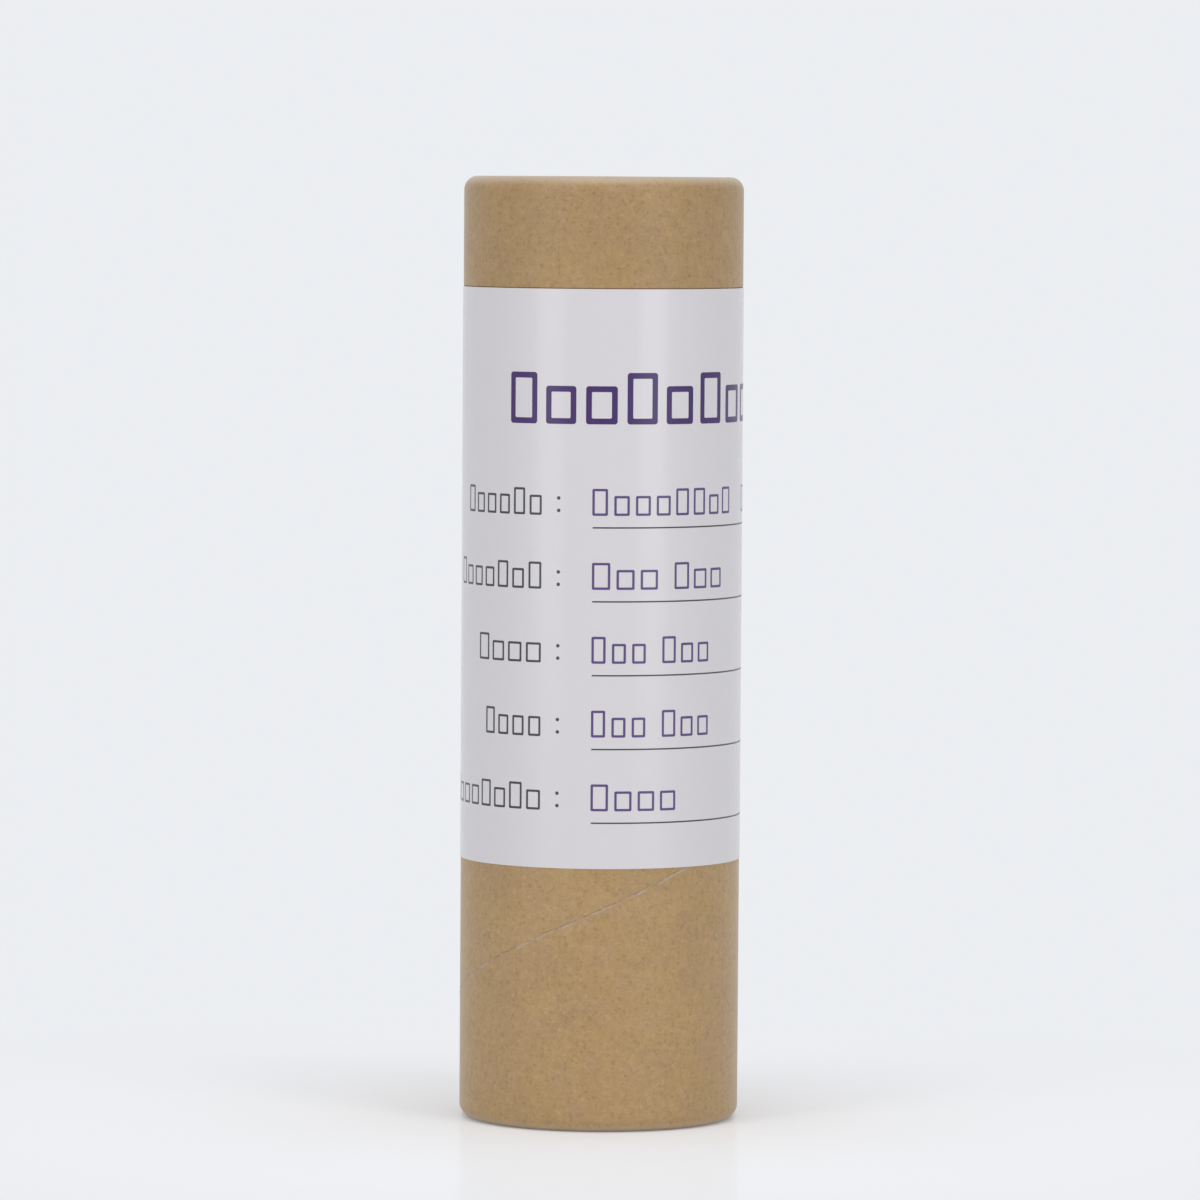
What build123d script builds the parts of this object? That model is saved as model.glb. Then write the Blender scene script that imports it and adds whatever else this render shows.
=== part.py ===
"""A kraft-paper tube canister with a pull-off lid, full of glass capillary tubes.

Millimetres, +Z up. The origin is the middle of the base, on the surface that it stands on, and
the front of the label faces -Y.
"""
from build123d import *
from math import degrees, hypot, sqrt
import os

os.makedirs("parts", exist_ok=True)

# ---- driving dimensions --------------------------------------------------------------------
outer_diameter = 32.0            # the wound tube, body and lid alike
overall_height = 108.0           # base to the top of the lid
lid_height = 12.4
joint_gap = 0.15                 # open line between the lid and the body

neck_diameter = 28.9             # outside of the inner tube, which the lid slides on
neck_clearance = 0.05            # all round the neck: a slip fit in the lid, glue in the body
inner_tube_wall = 1.6
neck_rise = 7.55                 # how far the neck stands out of the body

rim_radius = 1.6                 # outside of the rolled-in edges
rim_flat_depth = 0.03            # how much the roll is pressed flat where it stands
rim_return = 0.8                 # straight end of the roll, up to the disc that it holds
disc_thickness = 1.2

label_height = 65.4
label_width = 90.0               # measured round the tube
label_start = -108.0             # degrees from the front, -Y, to its left edge
label_thickness = 0.08
label_margin = 0.05              # from the body's cut top edge down to the label

capillary_length = 100.0
capillary_diameter = 0.7
capillary_bore = 0.5
capillary_count = 1000
capillary_spacing = 0.745        # they stand side by side, not quite touching
capillary_groups = 4             # the bundle is written as this many nodes, front to back

# ---- worked out from them ------------------------------------------------------------------
outer_radius = outer_diameter / 2
neck_radius = neck_diameter / 2
tube_bore_radius = neck_radius + neck_clearance
wall = outer_radius - tube_bore_radius
rim_axis = outer_radius - rim_radius
rim_leg_radius = rim_axis - rim_radius
rim_centre_height = rim_radius - rim_flat_depth
rim_flat_half = sqrt(rim_radius**2 - rim_centre_height**2)
rim_top = rim_centre_height + rim_return
lid_bottom = overall_height - lid_height
body_top = lid_bottom - joint_gap
neck_top = body_top + neck_rise
floor_height = rim_top + disc_thickness
label_bottom = body_top - label_margin - label_height
label_sweep = degrees(label_width / outer_radius)


def rolled_tube(height):
    """A tube wall standing on its rolled-in edge, with a cut edge at the given height."""
    with BuildPart() as tube:
        with BuildSketch(Plane.XZ):
            with BuildLine():
                outside = Line((outer_radius, height), (outer_radius, rim_centre_height))
                outer_roll = RadiusArc(
                    outside @ 1, (rim_axis + rim_flat_half, 0), rim_radius
                )
                flat = Line(outer_roll @ 1, (rim_axis - rim_flat_half, 0))
                inner_roll = RadiusArc(
                    flat @ 1, (rim_leg_radius, rim_centre_height), rim_radius
                )
                leg = Polyline(
                    inner_roll @ 1,
                    (rim_leg_radius, rim_top),
                    (rim_leg_radius + wall, rim_top),
                    (rim_leg_radius + wall, rim_centre_height),
                )
                fold = RadiusArc(
                    leg @ 1, (tube_bore_radius, rim_centre_height), wall - rim_radius
                )
                Polyline(fold @ 1, (tube_bore_radius, height), outside @ 0)
            make_face()
        revolve(axis=Axis.Z)
    return tube.part


# ---- body tube: spiral-wound kraft, its lower edge rolled in under the base disc --------------
with BuildPart() as body_tube:
    add(rolled_tube(body_top))
body_tube.part.label = "body_tube"
export_step(body_tube.part, "parts/body_tube.step")

# ---- base disc: punched board, held between the rolled edge and the inner tube ----------------
with BuildPart() as base_disc:
    with BuildSketch(Plane.XY.offset(rim_top)):
        Circle(neck_radius)
    extrude(amount=disc_thickness)
base_disc.part.label = "base_disc"
export_step(base_disc.part, "parts/base_disc.step")

# ---- inner tube: glued into the body, it stands proud as the neck that the lid slides on ------
with BuildPart() as inner_tube:
    with BuildSketch(Plane.XY.offset(floor_height)):
        Circle(neck_radius)
        Circle(neck_radius - inner_tube_wall, mode=Mode.SUBTRACT)
    extrude(amount=neck_top - floor_height)
inner_tube.part.label = "inner_tube"
export_step(inner_tube.part, "parts/inner_tube.step")

# ---- label: one paper sheet glued round the body, its ends apart at the back ------------------
with BuildPart() as label:
    with BuildSketch(Plane.XY.offset(label_bottom)):
        with BuildLine():
            start_angle = label_start - 90
            inside = CenterArc((0, 0), outer_radius, start_angle, label_sweep)
            outside = CenterArc(
                (0, 0), outer_radius + label_thickness, start_angle, label_sweep
            )
            Line(inside @ 0, outside @ 0)
            Line(inside @ 1, outside @ 1)
        make_face()
    extrude(amount=label_height)
label.part.label = "label"
export_step(label.part, "parts/label.step")

# ---- lid tube: a short length of the same tube, turned over, its upper edge rolled in ---------
with BuildPart() as lid_tube:
    add(rolled_tube(lid_height))
    mirror(about=Plane.XY.offset(overall_height / 2), mode=Mode.REPLACE)
lid_tube.part.label = "lid_tube"
export_step(lid_tube.part, "parts/lid_tube.step")

# ---- lid disc: punched board, glued under the lid's rolled edge -------------------------------
with BuildPart() as lid_disc:
    with BuildSketch(Plane.XY.offset(overall_height - rim_top - disc_thickness)):
        Circle(neck_radius)
    extrude(amount=disc_thickness)
lid_disc.part.label = "lid_disc"
export_step(lid_disc.part, "parts/lid_disc.step")

# ---- capillary tubes: a close-packed bundle of thin glass tubes, standing on the base disc ----
with BuildPart() as capillary:
    with BuildSketch(Plane.XY.offset(floor_height)):
        Circle(capillary_diameter / 2)
        Circle(capillary_bore / 2, mode=Mode.SUBTRACT)
    extrude(amount=capillary_length)

row_spacing = capillary_spacing * sqrt(3) / 2
reach = round(sqrt(capillary_count))
lattice = [
    ((column + row % 2 / 2) * capillary_spacing, row * row_spacing)
    for row in range(-reach, reach + 1)
    for column in range(-reach, reach + 1)
]
round_bundle = sorted(lattice, key=lambda place: hypot(*place))[:capillary_count]
front_to_back = sorted(round_bundle, key=lambda place: place[1])
group_size = capillary_count // capillary_groups
for group in range(capillary_groups):
    places = front_to_back[group * group_size : (group + 1) * group_size]
    capillary_tubes = Compound(
        [capillary.part.solid().moved(Location(place)) for place in places]
    )
    capillary_tubes.label = f"capillary_tubes_{group + 1}"
    export_step(capillary_tubes, f"parts/{capillary_tubes.label}.step")
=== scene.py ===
import math

import bmesh
import bpy
from mathutils import Matrix, Vector


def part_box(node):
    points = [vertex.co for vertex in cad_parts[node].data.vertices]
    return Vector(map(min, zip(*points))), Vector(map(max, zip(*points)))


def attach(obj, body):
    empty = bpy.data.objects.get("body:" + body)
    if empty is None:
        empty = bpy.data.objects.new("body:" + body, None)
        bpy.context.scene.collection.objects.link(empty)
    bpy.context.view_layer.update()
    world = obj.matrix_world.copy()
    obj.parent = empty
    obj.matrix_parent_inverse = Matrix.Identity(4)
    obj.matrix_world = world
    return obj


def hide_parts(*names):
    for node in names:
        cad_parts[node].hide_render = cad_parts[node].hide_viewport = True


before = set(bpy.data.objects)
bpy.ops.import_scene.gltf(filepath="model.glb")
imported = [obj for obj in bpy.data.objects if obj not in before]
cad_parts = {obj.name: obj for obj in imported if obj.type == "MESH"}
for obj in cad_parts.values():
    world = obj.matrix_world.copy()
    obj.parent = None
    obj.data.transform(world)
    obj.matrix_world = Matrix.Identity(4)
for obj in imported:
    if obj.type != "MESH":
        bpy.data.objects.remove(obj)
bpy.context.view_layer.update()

MM = 0.001


# ---- Room ----------------------------------------------------------------------------------
# A flat round floor of white card lit by an overhead softbox, a fill above the camera, and two tall
# strip softboxes, one on each side of it. The floor fades into the white of the world on every
# side.
def node(tree, kind, inputs=None, **settings):
    """A new node: its settings, and its inputs by name or number, each a value or a socket."""
    made = tree.nodes.new(kind)
    for key, value in settings.items():
        setattr(made, key, value)
    for key, value in (inputs or {}).items():
        if isinstance(value, bpy.types.NodeSocket):
            tree.links.new(value, made.inputs[key])
        else:
            made.inputs[key].default_value = value
    return made


def maths(tree, operation, *values):
    """The output of a Math node on one, two or three values or sockets."""
    return node(tree, "ShaderNodeMath", dict(enumerate(values)), operation=operation).outputs[0]


def ramp(tree, value, low, high, start=0.0, end=1.0, shape="LINEAR"):
    """A value mapped so that low gives start and high gives end, held level beyond them."""
    return node(
        tree,
        "ShaderNodeMapRange",
        {"Value": value, "From Min": low, "From Max": high, "To Min": start, "To Max": end},
        interpolation_type=shape,
    ).outputs[0]


def mixed(tree, share, first, second):
    """The colour that lies a share of the way from the first colour to the second."""
    return node(
        tree, "ShaderNodeMix", {0: share, 6: first, 7: second}, data_type="RGBA"
    ).outputs[2]


def bare_material(name):
    """A material with nothing but its output node: (material, its tree, the output)."""
    material = bpy.data.materials.new(name)
    material.use_nodes = True
    material.node_tree.nodes.clear()
    tree = material.node_tree
    return material, tree, tree.nodes.new("ShaderNodeOutputMaterial")


def seen_directly(tree):
    """1 for a ray from the camera, or one that was mirrored or let through; otherwise 0."""
    path = node(tree, "ShaderNodeLightPath")
    either = maths(tree, "MAXIMUM", path.outputs["Is Camera Ray"], path.outputs["Is Glossy Ray"])
    return maths(tree, "MAXIMUM", either, path.outputs["Is Transmission Ray"])


backdrop_white = (0.838, 0.855, 0.888, 1)
ambient_light = (0.41, 0.41, 0.414, 1)

world = bpy.data.worlds.new("white_room")
bpy.context.scene.world = world
world.use_nodes = True
world.node_tree.nodes.clear()
room_white = mixed(
    world.node_tree, seen_directly(world.node_tree), ambient_light, backdrop_white
)
background = node(world.node_tree, "ShaderNodeBackground", {"Color": room_white})
node(world.node_tree, "ShaderNodeOutputWorld", {"Surface": background.outputs[0]})

floor_radius, floor_sides = 3.0, 96
floor_white = (0.95, 0.955, 0.97, 1)
floor_shine, floor_blur = 0.085, 0.15
fade_start, fade_end = 0.016, 0.110
fade_least = 0.2
shine_start, shine_end = 0.055, 0.130
bpy.ops.mesh.primitive_circle_add(
    vertices=floor_sides, radius=floor_radius, fill_type="NGON"
)
floor = bpy.context.object
floor.name = "floor_card"
floor_material, tree, output = bare_material("white_card")
distance_out = node(
    tree,
    "ShaderNodeVectorMath",
    {0: node(tree, "ShaderNodeTexCoord").outputs["Object"]},
    operation="LENGTH",
).outputs["Value"]
fade = ramp(tree, distance_out, fade_start, fade_end, start=fade_least, shape="SMOOTHSTEP")
faded = node(
    tree,
    "ShaderNodeMixShader",
    {
        0: maths(tree, "MULTIPLY", fade, seen_directly(tree)),
        1: node(tree, "ShaderNodeBsdfDiffuse", {"Color": floor_white}).outputs[0],
        2: node(tree, "ShaderNodeEmission", {"Color": backdrop_white}).outputs[0],
    },
).outputs[0]
shine = node(
    tree, "ShaderNodeBsdfAnisotropic", {"Color": (1, 1, 1, 1), "Roughness": floor_blur}
).outputs[0]
shine_share = ramp(tree, distance_out, shine_start, shine_end, start=floor_shine, end=0.0)
card = node(tree, "ShaderNodeMixShader", {0: shine_share, 1: faded, 2: shine}).outputs[0]
tree.links.new(card, output.inputs["Surface"])
floor.data.materials.append(floor_material)


def softbox(name, place, aim, width, tall, power):
    """A rectangular area lamp at place, facing aim, that lights but is not seen itself."""
    data = bpy.data.lights.new(name, "AREA")
    data.shape = "RECTANGLE"
    data.size, data.size_y = width, tall
    data.energy = power
    lamp = bpy.data.objects.new(name, data)
    lamp.location = place
    lamp.visible_camera = False
    lamp.rotation_euler = (Vector(aim) - Vector(place)).to_track_quat("-Z", "Y").to_euler()
    bpy.context.scene.collection.objects.link(lamp)


strip_distance, strip_width, strip_tall = 0.85, 0.34, 1.0
for side, bearing, power in (("left", -44, 1.7), ("right", 42, 2.0)):
    turn = math.radians(bearing)
    stand = (math.sin(turn) * strip_distance, -math.cos(turn) * strip_distance, strip_tall / 2)
    softbox(f"strip_{side}", stand, (0, 0, strip_tall / 2), strip_width, strip_tall, power)
overhead_height, overhead_back, overhead_size, overhead_power = 1.2, -0.10, 1.0, 6.2
overhead_place = (0, overhead_back, overhead_height)
softbox("overhead", overhead_place, (0, 0, 0), overhead_size, overhead_size, overhead_power)
fill_place, fill_width, fill_tall, fill_power = (0, -1.1, 0.75), 2.2, 0.5, 2.0
softbox("fill", fill_place, (0, 0, 0), fill_width, fill_tall, fill_power)

# ---- Camera --------------------------------------------------------------------------------
# A long lens just under a metre away, a little above the top of the lid, looking slightly
# down, and leaning a fraction of a degree.
focal_length, sensor_width = 222.56, 36.0
camera_distance, camera_height, camera_side = 0.85, 0.1095, -0.00017
pitch_down, lean = math.radians(3.368), math.radians(0.371)
camera_data = bpy.data.cameras.new("camera")
camera_data.lens, camera_data.sensor_width = focal_length, sensor_width
camera_data.clip_start, camera_data.clip_end = 0.01, 50
camera = bpy.data.objects.new("camera", camera_data)
camera.location = (camera_side, -camera_distance, camera_height)
level_out = Matrix.Rotation(math.pi / 2 - pitch_down, 3, "X")
camera.rotation_euler = (level_out @ Matrix.Rotation(lean, 3, "Z")).to_euler()
bpy.context.scene.collection.objects.link(camera)
bpy.context.scene.camera = camera
bpy.context.scene.view_settings.view_transform = "Standard"

# ---- Body tube -----------------------------------------------------------------------------
# Plies of brown kraft paper, wound on a slant and glued into one tube. The upper edge is cut
# clean, so its plies show, and the lower edge is rolled in to hold the base disc.
tube_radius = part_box("body_tube")[1].x
body_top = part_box("body_tube")[1].z
disc_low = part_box("base_disc")[0].z
tube_wall = 1.5 * MM
tube_bore = tube_radius - tube_wall
rim_radius = 1.6 * MM
rim_axis = tube_radius - rim_radius
rim_flat = 0.03 * MM             # how much the roll is pressed flat where it stands
rim_centre = rim_radius - rim_flat
tube_sides = 288
winding_pitch = 45.3 * MM
winding_angle = math.atan(winding_pitch / (2 * math.pi * tube_radius))
body_seam = 25.3 * MM            # where the outer ply's edge crosses the front
kraft_brown = (0.390, 0.251, 0.107)
# Paler brown of the rolled edges: partly rubbed paper, partly a painted highlight where the roll
# catches the light.
rubbed_and_highlight_brown = (0.54, 0.46, 0.37, 1)
merge_distance = 1e-7


def cut_edge(inner, wall, height, plies=5, groove=0.05 * MM):
    """Points across a wall's cut end, from inside to outside, with a groove between plies."""
    ply = wall / plies
    points = [(inner, height - groove)]
    for number in range(plies):
        left = inner + number * ply
        points += [(left + 0.25 * ply, height), (left + 0.75 * ply, height)]
        points.append((left + ply, height - groove))
    return points


def rolled_section(height, steps=28, rows=14):
    """A tube wall's half section as (radius, height): rolled edge at 0, cut edge at height."""
    leg = rim_axis - rim_radius
    points = []
    for step in range(steps + 1):
        turn = math.pi * step / steps
        rise = max(0.0, rim_centre - rim_radius * math.sin(turn))
        points.append((rim_axis + rim_radius * math.cos(turn), rise))
    points += [(leg, disc_low), (leg + tube_wall, disc_low), (leg + tube_wall, rim_centre)]
    points += [(rim_axis, rim_centre - (rim_radius - tube_wall)), (tube_bore, rim_centre)]
    points += cut_edge(tube_bore, tube_wall, height)
    top = points[-1][1]
    points += [(tube_radius, top + (rim_centre - top) * row / rows) for row in range(1, rows)]
    return points


def smooth_object(name, vertices, faces, sharp=35):
    """A mesh object at the origin, shaded smooth up to an angle in degrees."""
    mesh = bpy.data.meshes.new(name)
    mesh.from_pydata(vertices, [], faces)
    merged = bmesh.new()
    merged.from_mesh(mesh)
    bmesh.ops.remove_doubles(merged, verts=merged.verts, dist=merge_distance)
    merged.to_mesh(mesh)
    merged.free()
    mesh.shade_smooth()
    mesh.set_sharp_from_angle(angle=math.radians(sharp))
    made = bpy.data.objects.new(name, mesh)
    bpy.context.scene.collection.objects.link(made)
    return made


def turned(name, section, upside_down_from=None):
    """A ring with that half section, spun round the z axis, or turned over below a height."""
    if upside_down_from is not None:
        section = [(r, upside_down_from - z) for r, z in reversed(section)]
    count = len(section)
    vertices, faces = [], []
    for side in range(tube_sides):
        turn = 2 * math.pi * side / tube_sides
        vertices += [(r * math.sin(turn), -r * math.cos(turn), z) for r, z in section]
        here, there = side * count, (side + 1) % tube_sides * count
        for i in range(count):
            j = (i + 1) % count
            if section[i][0] or section[j][0]:    # no face lies along the axis itself
                faces.append((here + i, there + i, there + j, here + j))
    return smooth_object(name, vertices, faces)


def kraft_paper(name, brown, seam_turn=None, rolled_edge=None):
    """Brown kraft: cloudy pulp, short fibres along the winding, flecks, and the ply's edge.

    seam_turn is how many turns before the front the ply's edge crosses height 0, if it shows.
    rolled_edge is the height of an edge painted paler, partly as stretched, rubbed paper and partly
    as a painted highlight.
    """
    material, tree, output = bare_material(name)
    place = node(tree, "ShaderNodeTexCoord").outputs["Object"]
    x, y, z = node(tree, "ShaderNodeSeparateXYZ", {0: place}).outputs
    angle = maths(tree, "ARCTAN2", x, maths(tree, "MULTIPLY", y, -1.0))
    turns = maths(tree, "DIVIDE", angle, 2 * math.pi)
    climb = maths(tree, "DIVIDE", z, winding_pitch)
    past_seam = maths(tree, "SUBTRACT", maths(tree, "SUBTRACT", climb, turns), seam_turn or 0.0)
    lap = maths(tree, "FLOOR", past_seam)
    unwound = maths(tree, "ADD", turns, lap)
    along = maths(tree, "MULTIPLY", unwound, 2 * math.pi * tube_radius)
    strip = node(tree, "ShaderNodeCombineXYZ", {0: along, 1: z, 2: lap}).outputs[0]

    def noise(scale, detail, vector=place):
        settings = {"Vector": vector, "Scale": scale, "Detail": detail, "Roughness": 0.6}
        return node(tree, "ShaderNodeTexNoise", settings).outputs[0]

    def times(value, amount):
        return maths(tree, "MULTIPLY", value, amount)

    def centred(value, amount):
        return times(maths(tree, "SUBTRACT", value, 0.5), amount)

    def total(first, *others):
        for other in others:
            first = maths(tree, "ADD", first, other)
        return first

    def fibres(lean, scale):
        """Hair-thin broken lines that lean from the winding direction by an angle."""
        laid = node(
            tree,
            "ShaderNodeVectorRotate",
            {"Vector": strip, "Angle": -winding_angle - lean},
            rotation_type="Z_AXIS",
        ).outputs[0]
        drawn_out = node(
            tree, "ShaderNodeVectorMath", {0: laid, 1: (0.22, 1.0, 1.0)}, operation="MULTIPLY"
        ).outputs[0]
        ridge = maths(tree, "ABSOLUTE", centred(noise(scale, 1.0, drawn_out), 1.0))
        broken = ramp(tree, noise(scale * 0.6, 1.0), 0.50, 0.60)
        return times(ramp(tree, ridge, 0.022, 0.0), broken)

    def flecks(scale, share, seed):
        """Small irregular spots in a share of the cells of a loose grid."""
        shifted = node(
            tree, "ShaderNodeVectorMath", {0: place, 1: (seed, seed, seed)}, operation="ADD"
        ).outputs[0]
        wobble = node(
            tree, "ShaderNodeTexNoise", {"Vector": shifted, "Scale": scale * 1.6}
        ).outputs[1]
        bent = node(
            tree,
            "ShaderNodeVectorMath",
            {0: wobble, 1: (0.9 / scale,) * 3, 2: shifted},
            operation="MULTIPLY_ADD",
        ).outputs[0]
        cells = node(tree, "ShaderNodeTexVoronoi", {"Vector": bent, "Scale": scale}).outputs
        lot = node(tree, "ShaderNodeSeparateColor", {0: cells["Color"]}).outputs[0]
        chosen = maths(tree, "GREATER_THAN", lot, 1 - share)
        return times(ramp(tree, cells["Distance"], 0.42, 0.12), chosen)

    clouds, blotches = noise(160, 2.0), noise(700, 2.0)
    pulp, grain = noise(1500, 3.0), noise(4200, 2.0)
    pale_fibres = maths(tree, "MAXIMUM", fibres(0.25, 1500), fibres(-0.9, 1300))
    dark_fibres = maths(tree, "MAXIMUM", fibres(-0.2, 1350), fibres(1.1, 1600))
    pale_flecks = flecks(1700, 0.18, 0.7)
    dark_flecks = maths(tree, "MAXIMUM", flecks(1500, 0.30, 0.0), flecks(2300, 0.30, 0.3))
    tone = total(
        0.5,
        centred(clouds, 0.46),
        centred(blotches, 0.48),
        centred(pulp, 1.0),
        centred(grain, 0.85),
        times(pale_fibres, 0.20),
        times(dark_fibres, -0.22),
        times(dark_flecks, -0.54),
        times(pale_flecks, 0.36),
    )
    darkest, palest, haze = 0.80, 1.16, 0.014
    warm, cool = (1.0, 1.0, 0.94), (1.0, 0.99, 1.05)
    tinted = []
    for tint in (warm, cool):
        hue = [channel * share for channel, share in zip(brown, tint)]
        dark = (*(channel * darkest for channel in hue), 1)
        pale = (*(channel * palest + haze for channel in hue), 1)
        tinted.append(mixed(tree, tone, dark, pale))
    patches = ramp(tree, noise(260, 2.0), 0.40, 0.60)
    colour = mixed(tree, patches, *tinted)

    if rolled_edge is not None:
        # The rolled edge is painted paler: partly stretched, rubbed paper, partly a painted
        # highlight along the roll.
        rubbed_and_highlight_width, rubbed_and_highlight_share = 1.0 * MM, 0.55
        from_edge = maths(tree, "ABSOLUTE", maths(tree, "SUBTRACT", z, rolled_edge))
        uneven = total(from_edge, centred(pulp, 0.5 * MM))
        rubbed_and_highlight = ramp(tree, uneven, rubbed_and_highlight_width, 0.05 * MM)
        colour = mixed(tree, times(rubbed_and_highlight, rubbed_and_highlight_share), colour, rubbed_and_highlight_brown)

    nap = total(centred(grain, 0.6), centred(pulp, 0.8), times(pale_fibres, 0.25))

    if seam_turn is not None:
        frayed_paper, gap_shadow = (0.42, 0.34, 0.27, 1), (0.13, 0.085, 0.05, 1)
        nearest = maths(tree, "FRACT", maths(tree, "ADD", past_seam, 0.5))
        across = centred(nearest, winding_pitch * math.cos(winding_angle))
        ragged = total(across, centred(noise(1100, 3.0), 0.45 * MM))
        fray = times(
            ramp(tree, ragged, -0.30 * MM, -0.18 * MM), ramp(tree, ragged, 0.03 * MM, -0.01 * MM)
        )
        gap = times(
            ramp(tree, ragged, -0.01 * MM, 0.02 * MM), ramp(tree, ragged, 0.10 * MM, 0.06 * MM)
        )
        fray_broken = times(fray, ramp(tree, noise(420, 2.0), 0.43, 0.58))
        gap_broken = times(gap, ramp(tree, noise(520, 2.0), 0.42, 0.56))
        colour = mixed(tree, times(fray_broken, 0.75), colour, frayed_paper)
        colour = mixed(tree, times(gap_broken, 0.7), colour, gap_shadow)
        nap = total(nap, times(gap, -1.2))

    bump = node(
        tree, "ShaderNodeBump", {"Height": nap, "Distance": 0.05 * MM, "Strength": 0.5}
    ).outputs[0]
    paper = node(
        tree,
        "ShaderNodeBsdfPrincipled",
        {"Base Color": colour, "Roughness": 0.46, "IOR": 1.5, "Normal": bump,
         "Sheen Weight": 0.25, "Sheen Roughness": 0.35, "Sheen Tint": (1.0, 0.97, 0.93, 1)},
    )
    tree.links.new(paper.outputs[0], output.inputs["Surface"])
    return material


body = turned("body_tube_paper", rolled_section(body_top))
body.data.materials.append(kraft_paper("body_kraft", kraft_brown, body_seam / winding_pitch, 0.0))
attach(body, "canister")
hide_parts("body_tube")

# ---- Outer ply's edge ----------------------------------------------------------------------
# The slanting line on the body where one turn of the outermost ply meets the next: a thin
# raised lip of torn fibres, which runs on under the label.
lip_width, lip_rise, lip_step = 0.17 * MM, 0.035 * MM, 0.09 * MM
lip_ragged = 1.2 * MM
lip_start, lip_end = rim_centre, body_top - 0.2 * MM


def group_with_inputs(name, inputs):
    """A Geometry Nodes group: its tree, its input node, and its output node."""
    tree = bpy.data.node_groups.new(name, "GeometryNodeTree")
    tree.interface.new_socket("Geometry", in_out="INPUT", socket_type="NodeSocketGeometry")
    for label, kind, value in inputs:
        socket = tree.interface.new_socket(label, in_out="INPUT", socket_type=kind)
        if value is not None:
            socket.default_value = value
    tree.interface.new_socket("Geometry", in_out="OUTPUT", socket_type="NodeSocketGeometry")
    return tree, tree.nodes.new("NodeGroupInput"), tree.nodes.new("NodeGroupOutput")


def grown(name, seedling, group, values, sharp=40):
    """The plain mesh that a Geometry Nodes group makes of an object, as a new object."""
    modifier = seedling.modifiers.new("grow", "NODES")
    modifier.node_group = group
    for item in group.interface.items_tree:
        if item.in_out == "INPUT" and item.name in values:
            modifier[item.identifier] = values[item.name]
    depsgraph = bpy.context.evaluated_depsgraph_get()
    mesh = bpy.data.meshes.new_from_object(seedling.evaluated_get(depsgraph))
    mesh.name = name
    mesh.shade_smooth()
    mesh.set_sharp_from_angle(angle=math.radians(sharp))
    bpy.data.objects.remove(seedling)
    made = bpy.data.objects.new(name, mesh)
    bpy.context.scene.collection.objects.link(made)
    return made


def point_object(name, points, joined):
    """A mesh of points alone, or of points joined in a row by edges."""
    mesh = bpy.data.meshes.new(name)
    mesh.from_pydata(points, [(i, i + 1) for i in range(len(points) - 1)] if joined else [], [])
    made = bpy.data.objects.new(name, mesh)
    bpy.context.scene.collection.objects.link(made)
    return made


def winding_line(low, high, seam, radius, step):
    """Points up a wound tube's seam, between two heights."""
    count = round((high - low) / math.sin(winding_angle) / step)
    points = []
    for number in range(count + 1):
        z = low + (high - low) * number / count
        turn = 2 * math.pi * (z - seam) / winding_pitch
        points.append((radius * math.sin(turn), -radius * math.cos(turn), z))
    return points


lip_group, lip_in, lip_out = group_with_inputs(
    "torn_lip",
    [
        ("Width", "NodeSocketFloat", lip_width),
        ("Rise", "NodeSocketFloat", lip_rise),
        ("Raggedness", "NodeSocketFloat", lip_ragged),
        ("Material", "NodeSocketMaterial", None),
    ],
)


def noise_above(tree, scale, detail, middle=0.5):
    """A noise field's value, less its middle."""
    field = node(tree, "ShaderNodeTexNoise", {"Scale": scale, "Detail": detail}).outputs[0]
    return maths(tree, "SUBTRACT", field, middle)


wander = maths(
    lip_group, "MULTIPLY", noise_above(lip_group, 1300.0, 3.0), lip_in.outputs["Raggedness"]
)
wander_up = node(lip_group, "ShaderNodeCombineXYZ", {2: wander}).outputs[0]
lip_path = node(
    lip_group, "GeometryNodeSetPosition", {0: lip_in.outputs["Geometry"], "Offset": wander_up}
).outputs[0]
lip_path = node(lip_group, "GeometryNodeMeshToCurve", {0: lip_path}).outputs[0]
lip_path = node(lip_group, "GeometryNodeSetCurveNormal", {0: lip_path}, mode="Z_UP").outputs[0]
lip_half = maths(lip_group, "MULTIPLY", lip_in.outputs["Width"], 0.5)
lip_stretch = node(
    lip_group, "ShaderNodeCombineXYZ", {0: lip_in.outputs["Rise"], 1: lip_half, 2: 1.0}
).outputs[0]
lip_shape = node(
    lip_group, "GeometryNodeCurvePrimitiveCircle", {"Resolution": 8, "Radius": 1.0}
).outputs[0]
lip_shape = node(
    lip_group, "GeometryNodeTransform", {0: lip_shape, "Scale": lip_stretch}
).outputs[0]
torn = ramp(lip_group, noise_above(lip_group, 2200.0, 3.0), 0.0, 0.12, start=0.05, end=1.3)
lip_mesh = node(
    lip_group,
    "GeometryNodeCurveToMesh",
    {0: lip_path, 1: lip_shape, "Scale": torn, "Fill Caps": True},
).outputs[0]


def finish_group(tree, geometry, group_in, group_out):
    """Ends a Geometry Nodes group in Realize Instances and Set Material."""
    real = node(tree, "GeometryNodeRealizeInstances", {0: geometry}).outputs[0]
    material = group_in.outputs["Material"]
    made = node(tree, "GeometryNodeSetMaterial", {0: real, "Material": material}).outputs[0]
    tree.links.new(made, group_out.inputs[0])


finish_group(lip_group, lip_mesh, lip_in, lip_out)

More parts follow.
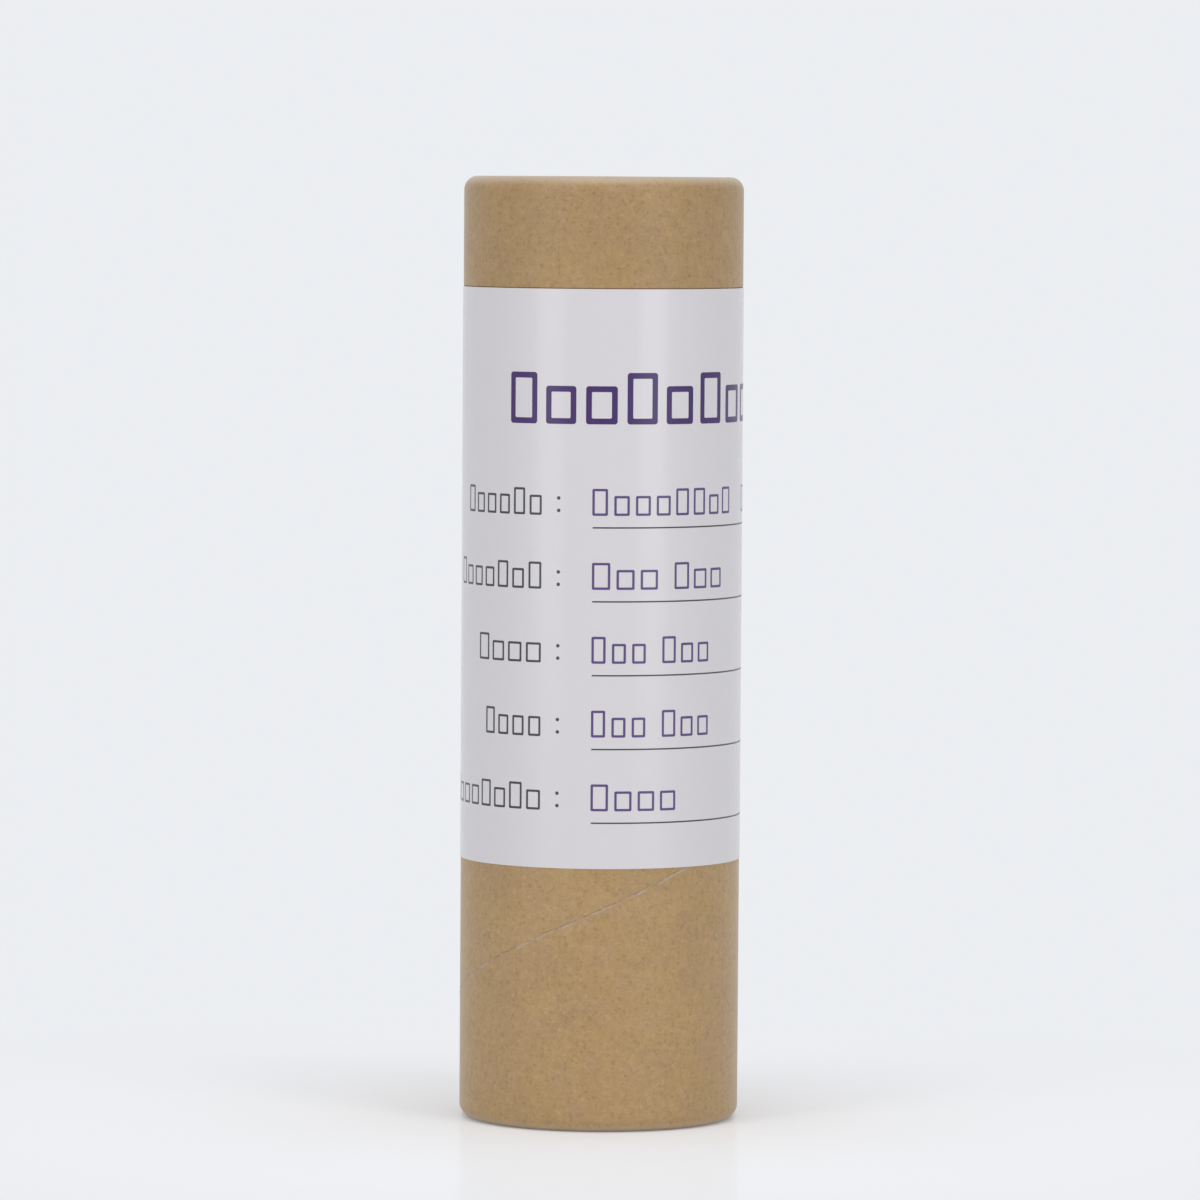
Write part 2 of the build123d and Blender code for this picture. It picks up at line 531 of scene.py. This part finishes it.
lip_material, tree, output = bare_material("torn_fibres")
fibre_dark, fibre_pale = (0.33, 0.24, 0.15, 1), (0.42, 0.35, 0.27, 1)
lip_place = node(tree, "ShaderNodeTexCoord").outputs["Object"]
lip_noise = node(
    tree, "ShaderNodeTexNoise", {"Vector": lip_place, "Scale": 1400.0, "Detail": 3.0}
).outputs[0]
lip_tone = mixed(tree, lip_noise, fibre_dark, fibre_pale)
fuzz = node(
    tree,
    "ShaderNodeBsdfPrincipled",
    {"Base Color": lip_tone, "Roughness": 0.9, "Sheen Weight": 0.4},
)
tree.links.new(fuzz.outputs[0], output.inputs["Surface"])

lip_points = winding_line(lip_start, lip_end, body_seam, tube_radius, lip_step)
seam_line = point_object("seam_line", lip_points, joined=True)
lip = grown("outer_ply_edge", seam_line, lip_group, {"Material": lip_material})
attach(lip, "canister")

# ---- Base disc -----------------------------------------------------------------------------
# A punched disc of brown board, pressed in from above until it sits on the rolled edge. It is
# a little dished underneath, and its edge is softened by the punch.
board_brown = (0.40, 0.272, 0.148)


def board_section(radius, low, high, softened=0.15 * MM, dish=0.12 * MM):
    """A disc's half section, from the axis underneath to the axis on top."""
    under = [(radius * share, low + dish * (1 - share**2)) for share in (0, 0.25, 0.5, 0.75)]
    edge = [
        (radius - softened, low), (radius, low + softened),
        (radius, high - softened), (radius - softened, high),
    ]
    return under + edge + [(radius * share, high) for share in (0.75, 0.5, 0.25, 0)]


base_low, base_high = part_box("base_disc")
base_disc = turned("base_disc_board", board_section(base_high.x, base_low.z, base_high.z))
base_disc.data.materials.append(kraft_paper("base_board", board_brown))
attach(base_disc, "canister")
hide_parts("base_disc")

# ---- Inner tube ----------------------------------------------------------------------------
# A thinner wound tube, glued inside the body from the base disc up. It stands out of the
# body's cut edge as the neck that the lid slides on, and its top edge shows its plies.
neck_low, neck_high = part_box("inner_tube")
neck_radius, neck_wall = neck_high.x, 1.6 * MM
neck_bore = neck_radius - neck_wall
neck_seam = 83.0 * MM            # where its own ply's edge crosses the front
neck_brown = (0.46, 0.33, 0.19)
neck_section = [(neck_bore, neck_low.z)] + cut_edge(neck_bore, neck_wall, neck_high.z)
neck_section += [(neck_radius, body_top), (neck_radius, neck_low.z)]
neck = turned("inner_tube_paper", neck_section)
neck.data.materials.append(kraft_paper("neck_kraft", neck_brown, neck_seam / winding_pitch))
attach(neck, "canister")
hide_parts("inner_tube")

# ---- Capillary tubes -----------------------------------------------------------------------
# One thousand fire-cut glass tubes, 100 mm by 0.7 mm with a 0.5 mm bore, standing side by side
# on the base disc. Each is cut to within a few tenths of a millimetre of its length.
capillary_nodes = sorted(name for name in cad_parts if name.startswith("capillary_tubes"))
capillary_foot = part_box(capillary_nodes[0])[0].z
capillary_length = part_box(capillary_nodes[0])[1].z - capillary_foot
capillary_diameter, capillary_bore, capillary_spacing = 0.7 * MM, 0.5 * MM, 0.745 * MM
capillary_count = 1000
reach = round(math.sqrt(capillary_count))
lattice = [
    ((column + row % 2 / 2) * capillary_spacing, row * capillary_spacing * math.sqrt(3) / 2)
    for row in range(-reach, reach + 1)
    for column in range(-reach, reach + 1)
]
feet = sorted(lattice, key=lambda place: math.hypot(*place))[:capillary_count]

glass_group, glass_in, glass_out = group_with_inputs(
    "standing_tubes",
    [
        ("Diameter", "NodeSocketFloat", capillary_diameter),
        ("Bore", "NodeSocketFloat", capillary_bore),
        ("Length", "NodeSocketFloat", capillary_length),
        ("Shortest", "NodeSocketFloat", 0.997),
        ("Sides", "NodeSocketInt", 12),
        ("Seed", "NodeSocketInt", 7),
        ("Material", "NodeSocketMaterial", None),
    ],
)
glass_sizes = glass_in.outputs
glass_wall = maths(glass_group, "SUBTRACT", glass_sizes["Diameter"], glass_sizes["Bore"])
glass_middle = maths(glass_group, "ADD", glass_sizes["Diameter"], glass_sizes["Bore"])
glass_ring_radius = maths(glass_group, "MULTIPLY", glass_middle, 0.25)
glass_circle = node(
    glass_group,
    "GeometryNodeCurvePrimitiveCircle",
    {"Resolution": glass_sizes["Sides"], "Radius": glass_ring_radius},
).outputs[0]
glass_section = node(
    glass_group,
    "GeometryNodeCurvePrimitiveQuadrilateral",
    {"Width": maths(glass_group, "MULTIPLY", glass_wall, 0.5), "Height": glass_sizes["Length"]},
).outputs[0]
glass_tube = node(
    glass_group, "GeometryNodeCurveToMesh", {0: glass_circle, 1: glass_section}
).outputs[0]
half_up = node(
    glass_group,
    "ShaderNodeCombineXYZ",
    {2: maths(glass_group, "MULTIPLY", glass_sizes["Length"], 0.5)},
).outputs[0]
glass_tube = node(
    glass_group, "GeometryNodeTransform", {0: glass_tube, "Translation": half_up}
).outputs[0]
cut_length = node(
    glass_group,
    "FunctionNodeRandomValue",
    {2: glass_sizes["Shortest"], 3: 1.0, "Seed": glass_sizes["Seed"]},
    data_type="FLOAT",
).outputs[1]
cut_scale = node(glass_group, "ShaderNodeCombineXYZ", {0: 1.0, 1: 1.0, 2: cut_length}).outputs[0]
standing = node(
    glass_group,
    "GeometryNodeInstanceOnPoints",
    {"Points": glass_in.outputs["Geometry"], "Instance": glass_tube, "Scale": cut_scale},
).outputs[0]
finish_group(glass_group, standing, glass_in, glass_out)

glass, tree, output = bare_material("clear_glass")
clear = node(
    tree,
    "ShaderNodeBsdfPrincipled",
    {"Base Color": (0.88, 0.945, 0.935, 1), "Roughness": 0.06, "IOR": 1.47,
     "Transmission Weight": 0.3},
)
tree.links.new(clear.outputs[0], output.inputs["Surface"])
feet_object = point_object(
    "capillary_feet", [(x, y, capillary_foot) for x, y in feet], joined=False
)
capillaries = grown("glass_capillaries", feet_object, glass_group, {"Material": glass})
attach(capillaries, "canister")
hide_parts(*capillary_nodes)

# ---- Label ---------------------------------------------------------------------------------
# A sheet of white coated paper, glued most of the way round the body below its cut edge. Its
# two ends stop short of each other at the back, and lift by a hair there.
label_low, label_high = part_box("label")
label_bottom, label_top = label_low.z, label_high.z
label_thickness = label_high.x - tube_radius
label_start, label_width = math.radians(-108.0), 90.0 * MM
label_columns, label_rows = 270, 26
label_lift, label_lift_width = 0.07 * MM, 1.6 * MM
label_swell = 0.006 * MM         # slow unevenness of the glued sheet
swell_round, swell_up = 310, 95


def on_label(along, height, depth):
    """A point on the label: distance round from the front, height, and distance above its face."""
    from_start = along - label_start * tube_radius
    from_end = min(from_start, label_width - from_start)
    lift = label_lift * max(0.0, 1 - from_end / label_lift_width) ** 2
    swell = label_swell * math.sin(along * swell_round + 2.0 * math.sin(height * swell_up))
    radius = tube_radius + label_thickness - 2 * label_swell + depth + lift + swell
    turn = along / tube_radius
    return radius * math.sin(turn), -radius * math.cos(turn), height


def label_sheet():
    """The sheet as a closed thin shell, with a softened edge."""
    rise = (label_top - label_bottom) / label_rows
    heights = [label_bottom + rise * row for row in range(label_rows + 1)]
    ring = [(height, 0.0) for height in heights]
    ring += [(height, -label_thickness) for height in reversed(heights)]
    vertices, faces = [], []
    for column in range(label_columns + 1):
        along = label_start * tube_radius + label_width * column / label_columns
        vertices += [on_label(along, height, depth) for height, depth in ring]
    count = len(ring)
    for column in range(label_columns):
        here, there = column * count, (column + 1) * count
        for i in range(count):
            j = (i + 1) % count
            faces.append((here + i, there + i, there + j, here + j))
    last = label_columns * count
    for i in range(label_rows):
        faces.append((i, i + 1, count - 2 - i, count - 1 - i))
        faces.append((last + i, last + count - 1 - i, last + count - 2 - i, last + i + 1))
    return smooth_object("label_sheet", vertices, faces)


def coated_paper(name, colour, roughness):
    """Smooth coated paper, or ink on it: a faint mottle under a soft shine."""
    material, tree, output = bare_material(name)
    place = node(tree, "ShaderNodeTexCoord").outputs["Object"]
    mottle = node(
        tree, "ShaderNodeTexNoise", {"Vector": place, "Scale": 900.0, "Detail": 3.0}
    ).outputs[0]
    darker = (*(channel * 0.985 for channel in colour), 1)
    tone = mixed(tree, mottle, darker, (*colour, 1))
    slow = node(
        tree, "ShaderNodeTexNoise", {"Vector": place, "Scale": 160.0, "Detail": 1.0}
    ).outputs[0]
    height = maths(tree, "ADD", maths(tree, "MULTIPLY", slow, 4.0), mottle)
    bump = node(
        tree, "ShaderNodeBump", {"Height": height, "Distance": 0.004 * MM, "Strength": 0.4}
    ).outputs[0]
    paper = node(
        tree,
        "ShaderNodeBsdfPrincipled",
        {"Base Color": tone, "Roughness": roughness, "IOR": 1.5, "Normal": bump},
    )
    tree.links.new(paper.outputs[0], output.inputs["Surface"])
    return material


label_white = (0.658, 0.640, 0.662)
label = label_sheet()
label.data.materials.append(coated_paper("label_white", label_white, 0.22))
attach(label, "canister")
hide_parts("label")

# ---- Print on the label --------------------------------------------------------------------
# Ink, laid out as a heading over five ruled rows. Open boxes stand for the letters: a purple
# heading, dark grey field names with two dots after them, purple-grey entries, and thin rules.
ink_depth = 0.005 * MM
ink_step = 0.45 * MM
low_share = 0.74                 # a low box's height, as a share of a tall one's


def rounded_loop(left, right, low, high, corner, columns):
    """Points round a box with round corners, from the lower left along the foot."""
    corner = min(corner, (right - left) / 2, (high - low) / 2)
    loop = []
    for number, (x, y) in enumerate(((right, low), (right, high), (left, high), (left, low))):
        centre = (x - corner if x == right else x + corner, y + corner if y == low else y - corner)
        if number in (0, 2):    # the foot and the top bend with the label, so they need more
            side = (left + corner - right + corner) * (1 if number == 0 else -1)
            start = centre[0] + side
            loop += [(start - side * i / columns, y) for i in range(1, columns)]
        for step in range(5):
            turn = math.pi / 2 * (number - 1 + step / 4)
            loop.append(
                (centre[0] + corner * math.cos(turn), centre[1] + corner * math.sin(turn))
            )
    return loop


class Ink:
    """The shapes printed in one colour, gathered into one mesh."""

    def __init__(self, name, colour):
        self.name, self.colour = name, colour
        self.vertices, self.faces = [], []

    def box(self, left, right, low, high, stroke, corner):
        """An open box with round corners, bent round the label."""
        columns = max(2, math.ceil((right - left) / ink_step))
        outer = rounded_loop(left, right, low, high, corner, columns)
        inner = rounded_loop(
            left + stroke, right - stroke, low + stroke, high - stroke,
            max(corner - stroke, 0.2 * stroke), columns,
        )
        first, count = len(self.vertices), len(outer)
        for far, near in zip(outer, inner):
            for (along, height), side in ((far, 1), (near, 1), (near, -1), (far, -1)):
                self.vertices.append(on_label(along, height, side * ink_depth))
        for i in range(count):
            here, there = first + 4 * i, first + 4 * ((i + 1) % count)
            for k in range(4):
                n = (k + 1) % 4
                self.faces.append((here + k, there + k, there + n, here + n))

    def bar(self, left, right, low, high):
        """A filled bar, bent round the label."""
        count = max(1, math.ceil((right - left) / ink_step))
        first = len(self.vertices)
        for i in range(count + 1):
            along = left + (right - left) * i / count
            for height, side in ((low, 1), (high, 1), (high, -1), (low, -1)):
                self.vertices.append(on_label(along, height, side * ink_depth))
        for i in range(count):
            here, there = first + 4 * i, first + 4 * i + 4
            for k in range(4):
                n = (k + 1) % 4
                self.faces.append((here + k, there + k, there + n, here + n))
        last = first + 4 * count
        self.faces.append((first + 3, first + 2, first + 1, first))
        self.faces.append((last, last + 1, last + 2, last + 3))

    def dot(self, along, height, size):
        """A filled round dot."""
        first, sides = len(self.vertices), 12
        for side in (1, -1):
            for i in range(sides):
                turn = 2 * math.pi * i / sides
                self.vertices.append(on_label(
                    along + size / 2 * math.cos(turn), height + size / 2 * math.sin(turn),
                    side * ink_depth,
                ))
        front = [first + i for i in range(sides)]
        back = [first + sides + i for i in range(sides)]
        self.faces += [tuple(front), tuple(reversed(back))]
        for i in range(sides):
            j = (i + 1) % sides
            self.faces.append((back[i], back[j], front[j], front[i]))

    def word(self, left, right, base, tall, letter, gap, stroke, rhythm):
        """A row of boxes from left to right, tall and low by the rhythm."""
        count = max(1, round((right - left + gap) / (letter + gap)))
        pitch = (right - left + gap) / count
        for i in range(count):
            start = left + i * pitch
            high = tall if rhythm[i % len(rhythm)] else low_share * tall
            self.box(start, start + pitch - gap, base, base + high, stroke, 0.10 * letter)

    def lay_down(self):
        """Makes the mesh, and fixes it to the label."""
        made = smooth_object(self.name, self.vertices, self.faces)
        made.data.materials.append(coated_paper(self.name + "_ink", self.colour, 0.3))
        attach(made, "canister")


rule_pitch, first_rule = 8.34 * MM, 68.55 * MM
rule_left, rule_right, rule_height = -1.05 * MM, 41.0 * MM, 0.17 * MM
letters_above_rule, letters_tall = 1.35 * MM, 3.05 * MM
entry_left, name_right, dots_at, dot = -1.1 * MM, -7.0 * MM, -4.95 * MM, 0.42 * MM
heading_base, heading_tall, heading_left, heading_right = 80.2 * MM, 5.8 * MM, -11.2 * MM, 25.0 * MM
rows = (                         # a name's width, then each entry's start and width, in mm
    (12.3, ((0, 19.0), (23.6, 15.0))),
    (15.1, ((0, 7.6), (9.7, 7.4))),
    (9.5, ((0, 6.2), (8.2, 6.6))),
    (8.1, ((0, 6.2), (8.2, 6.6))),
    (18.5, ((0, 10.0),)),
)
heading = Ink("print_heading", (0.045, 0.013, 0.118))
names = Ink("print_field_names", (0.045, 0.042, 0.048))
entries = Ink("print_entries", (0.095, 0.055, 0.19))
rules = Ink("print_rules", (0.05, 0.05, 0.055))
heading.word(heading_left, heading_right, heading_base, heading_tall, 3.3 * MM, 1.1 * MM,
             0.66 * MM, (1, 0, 0, 1, 0))
for number, (name_width, words) in enumerate(rows):
    rule = first_rule - number * rule_pitch
    base = rule + letters_above_rule
    rules.bar(rule_left, rule_right, rule - rule_height / 2, rule + rule_height / 2)
    names.word(name_right - name_width * MM, name_right, base, letters_tall, 1.7 * MM, 0.6 * MM,
               0.26 * MM, (1, 0, 0, 0, 1, 0))
    for above in (0.56 * MM, 1.96 * MM):
        names.dot(dots_at, base + above, dot)
    for start, width in words:
        left = entry_left + start * MM
        entries.word(left, left + width * MM, base, letters_tall, 1.8 * MM, 0.7 * MM,
                     0.28 * MM, (1, 0, 0, 0, 1, 1, 0))
for ink in (heading, names, entries, rules):
    ink.lay_down()

# ---- Lid tube ------------------------------------------------------------------------------
# A short length of the same wound tube, turned over: its rolled-in edge is the top, and its
# clean-cut edge meets the body's. It is a push fit on the neck.
lid_low, lid_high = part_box("lid_tube")
lid_seam = 102.0 * MM            # where its outer ply's edge crosses the back
lid_seam_turn = lid_seam / winding_pitch - 0.5
lid_reach = 0.13 * MM            # how far it is pushed down, to leave a hairline joint
lid_height = lid_high.z - lid_low.z + lid_reach
lid_brown = (0.357, 0.228, 0.096)
lid = turned("lid_tube_paper", rolled_section(lid_height), upside_down_from=lid_high.z)
lid.data.materials.append(kraft_paper("lid_kraft", lid_brown, lid_seam_turn, lid_high.z))
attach(lid, "lid")
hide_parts("lid_tube")

# ---- Lid disc ------------------------------------------------------------------------------
# The same punched board as the base disc, turned over and glued under the lid's rolled edge.
lid_disc_low, lid_disc_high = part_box("lid_disc")
lid_disc_thickness = lid_disc_high.z - lid_disc_low.z
lid_disc = turned(
    "lid_disc_board",
    board_section(lid_disc_high.x, 0.0, lid_disc_thickness),
    upside_down_from=lid_disc_high.z,
)
lid_disc.data.materials.append(kraft_paper("lid_board", board_brown))
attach(lid_disc, "lid")
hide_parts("lid_disc")
